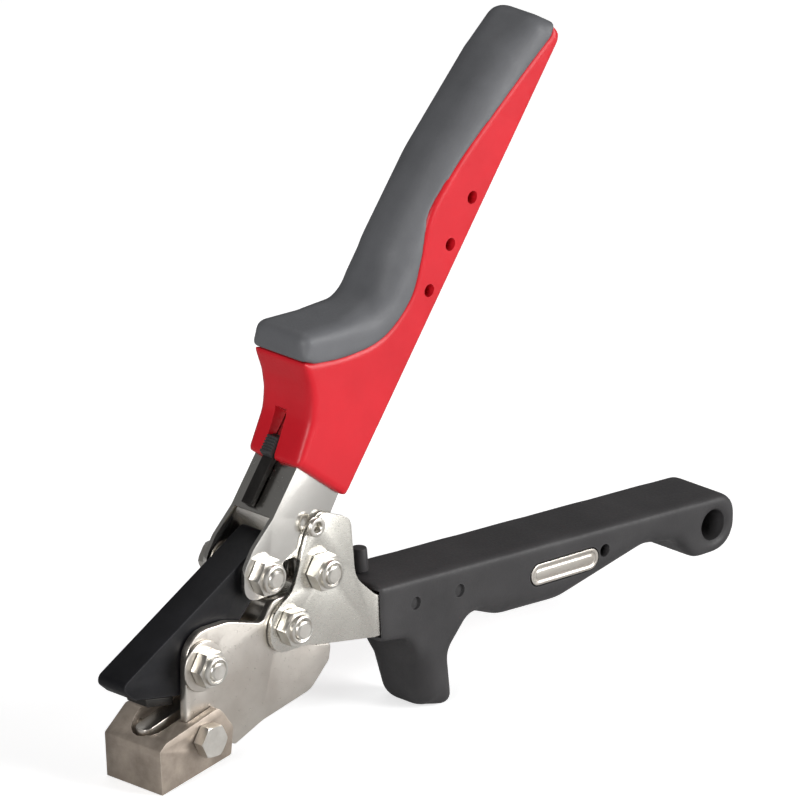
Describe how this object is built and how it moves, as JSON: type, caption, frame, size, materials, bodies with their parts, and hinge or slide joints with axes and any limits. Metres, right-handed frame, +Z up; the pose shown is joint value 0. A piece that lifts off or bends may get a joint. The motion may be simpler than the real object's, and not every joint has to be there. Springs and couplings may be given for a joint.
{
  "type": "hand seamer",
  "caption": "One-hand toggle-linkage tool for siding sheet: a wedge jaw closes on a slotted die block as the two handles are squeezed; sprung open, with a thumb latch.",
  "frame": {"origin": "middle of the open tool's length and width, on the surface it stands on", "axes": "+X from the die block towards the handles' ends, +Y towards the bolt heads, the locknuts being on the -Y side, +Z up"},
  "size_m": [0.274, 0.0372, 0.2279],
  "materials": {
    "nickel_plate": "satin nickel plate",
    "bright_steel": "bright plated steel",
    "die_steel": "hardened, brown-grey",
    "spring_steel": "oiled spring wire",
    "black_paint": "semi-matt black coating",
    "black_plastic": "fine satin grain",
    "red_plastic": "satin",
    "grey_rubber": "matt soft overmould"
  },
  "bodies": {
    "head": {"head_plate_near": "nickel_plate", "head_plate_far": "nickel_plate", "die_block": "die_steel", "anvil_bar": "nickel_plate", "anvil_dowel": "bright_steel", "bolt_die_block": "bright_steel", "locknut_die_block": "bright_steel", "bolt_jaw_pivot": "bright_steel", "locknut_jaw_pivot": "bright_steel", "washer_jaw_pivot_near": "nickel_plate", "washer_jaw_pivot_far": "nickel_plate", "bush_jaw_pivot": "nickel_plate", "bolt_handle_pivot": "bright_steel", "locknut_handle_pivot": "bright_steel", "bush_handle_pivot": "nickel_plate"},
    "jaw": {"upper_jaw": "black_paint", "jaw_insert": "die_steel", "jaw_insert_screw": "bright_steel"},
    "lower_handle": {"lower_channel": "nickel_plate", "lower_grip": "black_plastic", "side_plate_near": "nickel_plate", "side_plate_far": "nickel_plate", "grip_pin_front": "die_steel", "grip_pin_rear": "die_steel", "closing_stop": "black_plastic", "bolt_toggle_pivot": "bright_steel", "locknut_toggle_pivot": "bright_steel", "bush_toggle_pivot": "nickel_plate", "spring_anchor": "bright_steel", "return_spring": "spring_steel"},
    "upper_handle": {"upper_channel": "bright_steel", "upper_body": "red_plastic", "upper_grip": "grey_rubber", "bolt_link_pivot": "bright_steel", "locknut_link_pivot": "bright_steel", "washer_link_pivot_near": "nickel_plate", "washer_link_pivot_far": "nickel_plate"},
    "latch": {"latch_bar": "die_steel", "latch_thumb_rib": "black_plastic"}
  },
  "joints": [
    {"name": "lower_handle_swing", "type": "hinge", "parent": "head", "child": "lower_handle", "pos_m": [-0.06825, 0, 0.04475], "axis": [0, -1, 0], "range_deg": [0, 40.5]},
    {"name": "handle_squeeze", "type": "hinge", "parent": "lower_handle", "child": "upper_handle", "pos_m": [-0.0553, 0, 0.06068], "axis": [0, 1, 0], "range_deg": [0, 50], "stiffness_Nm_per_rad": 0.5, "springref_deg": -57.3, "deforming": ["return_spring"]},
    {"name": "jaw_close", "type": "hinge", "parent": "head", "child": "jaw", "pos_m": [-0.10623, 0, 0.03924], "axis": [0, -1, 0], "range_deg": [0, 24.75]},
    {"name": "latch_slide", "type": "slide", "parent": "upper_handle", "child": "latch", "axis": [-0.5574, 0, -0.8303], "range_m": [0, 0.006]}
  ],
  "couplings": [
    {"joint": "lower_handle_swing", "follows": "handle_squeeze", "ratio": 0.81},
    {"joint": "jaw_close", "follows": "handle_squeeze", "ratio": 0.495}
  ]
}
